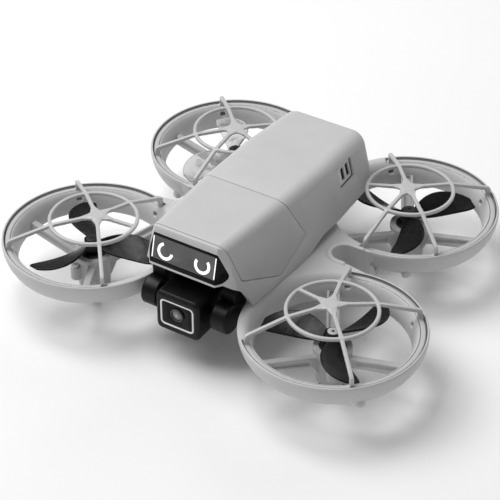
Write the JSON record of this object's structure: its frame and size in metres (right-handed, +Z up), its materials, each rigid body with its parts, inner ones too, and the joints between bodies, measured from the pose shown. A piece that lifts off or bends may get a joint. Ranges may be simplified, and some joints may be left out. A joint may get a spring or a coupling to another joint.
{
  "type": "mini palm drone",
  "caption": "Palm-sized camera drone with ducted rotors under wire guards, a raised shell with a small display in its nose, and a camera that tilts below it",
  "frame": {"origin": "on the surface it stands on, under the middle of the four ducts", "axes": "+Z up, -Y towards the nose and display, +X is the drone's own left-to-right for someone looking at its nose from the front"},
  "size_m": [0.155, 0.1324, 0.0473],
  "materials": {
    "pale_shell": "fine matte moulded plastic, pale grey",
    "guard_grey": "smooth satin moulded plastic, light grey",
    "dark_plastic": "satin black plastic",
    "mount_grey": "matte moulded plastic, light grey",
    "motor_metal": "black coated steel can",
    "steel": "bright steel",
    "cap_dark": "black plastic dome",
    "cap_light": "light grey plastic",
    "foot_rubber": "soft rubber",
    "black_glass": "polished black window",
    "screen_grey": "unlit dark grey display",
    "light_white": "white",
    "lens_metal": "black anodised barrel",
    "lens_glass": "coated lens",
    "board_green": "circuit board",
    "chip_black": "chip packages",
    "cell_foil": "foil pouch"
  },
  "bodies": {
    "airframe": {"antenna": "steel", "board_chips": "chip_black", "bottom_cover": "mount_grey", "charge_lights": "light_white", "damper_tabs": "foot_rubber", "display_panel": "screen_grey", "display_window": "black_glass", "duct_front_left": "pale_shell", "duct_front_right": "pale_shell", "duct_rear_left": "pale_shell", "duct_rear_right": "pale_shell", "eye_lights": "light_white", "feet": "foot_rubber", "flow_sensor": "black_glass", "front_cover": "pale_shell", "gimbal_yoke": "dark_plastic", "guard_front_left": "guard_grey", "guard_front_right": "guard_grey", "guard_rear_left": "guard_grey", "guard_rear_right": "guard_grey", "hull_screws": "steel", "lower_hull": "pale_shell", "main_board": "board_green", "main_shell": "pale_shell", "motor_front_left": "motor_metal", "motor_front_right": "motor_metal", "motor_mount_front_left": "mount_grey", "motor_mount_front_right": "mount_grey", "motor_mount_rear_left": "mount_grey", "motor_mount_rear_right": "mount_grey", "motor_rear_left": "motor_metal", "motor_rear_right": "motor_metal", "mount_screws": "steel", "pivot_housing_left": "dark_plastic", "pivot_housing_right": "dark_plastic", "side_lights": "light_white", "usb_socket": "dark_plastic"},
    "rotor_front_left": {"propeller_front_left": "dark_plastic", "rotor_cap_front_left": "cap_dark", "motor_shaft_front_left": "steel"},
    "rotor_front_right": {"propeller_front_right": "dark_plastic", "rotor_cap_front_right": "cap_light", "motor_shaft_front_right": "steel"},
    "rotor_rear_left": {"propeller_rear_left": "dark_plastic", "rotor_cap_rear_left": "cap_dark", "motor_shaft_rear_left": "steel"},
    "rotor_rear_right": {"propeller_rear_right": "dark_plastic", "rotor_cap_rear_right": "cap_dark", "motor_shaft_rear_right": "steel"},
    "camera": {"camera_housing": "dark_plastic", "camera_bezel": "light_white", "camera_glass": "black_glass", "lens_barrel": "lens_metal", "lens_front": "lens_glass"},
    "battery": {"battery_case": "mount_grey", "battery_cells": "cell_foil", "battery_board": "board_green"},
    "left_latch": {"latch_left": "cap_light"},
    "right_latch": {"latch_right": "cap_light"},
    "power_switch": {"power_button": "cap_light"}
  },
  "joints": [
    {"name": "rotor_front_left_spin", "type": "hinge", "parent": "airframe", "child": "rotor_front_left", "pos_m": [-0.047, -0.0357, 0.0186], "axis": [0, 0, 1], "continuous": true},
    {"name": "rotor_front_right_spin", "type": "hinge", "parent": "airframe", "child": "rotor_front_right", "pos_m": [0.047, -0.0357, 0.0186], "axis": [0, 0, 1], "continuous": true},
    {"name": "rotor_rear_left_spin", "type": "hinge", "parent": "airframe", "child": "rotor_rear_left", "pos_m": [-0.0354, 0.0357, 0.0186], "axis": [0, 0, 1], "continuous": true},
    {"name": "rotor_rear_right_spin", "type": "hinge", "parent": "airframe", "child": "rotor_rear_right", "pos_m": [0.0354, 0.0357, 0.0186], "axis": [0, 0, 1], "continuous": true},
    {"name": "camera_tilt", "type": "hinge", "parent": "airframe", "child": "camera", "pos_m": [0, -0.0465, 0.0199], "axis": [1, 0, 0], "range_deg": [-15, 90]},
    {"name": "battery_slide", "type": "slide", "parent": "airframe", "child": "battery", "axis": [0, 1, 0], "range_m": [0, 0.035]},
    {"name": "left_latch_press", "type": "slide", "parent": "airframe", "child": "left_latch", "axis": [0.9685, -0.0578, -0.2421], "range_m": [0, 0.0012], "stiffness_N_per_m": 300, "springref_m": -0.002},
    {"name": "right_latch_press", "type": "slide", "parent": "airframe", "child": "right_latch", "axis": [-0.9685, -0.0578, -0.2421], "range_m": [0, 0.0012], "stiffness_N_per_m": 300, "springref_m": -0.002},
    {"name": "power_press", "type": "slide", "parent": "airframe", "child": "power_switch", "axis": [0.97, 0.0162, -0.2425], "range_m": [0, 0.0008], "stiffness_N_per_m": 400, "springref_m": -0.0015}
  ]
}
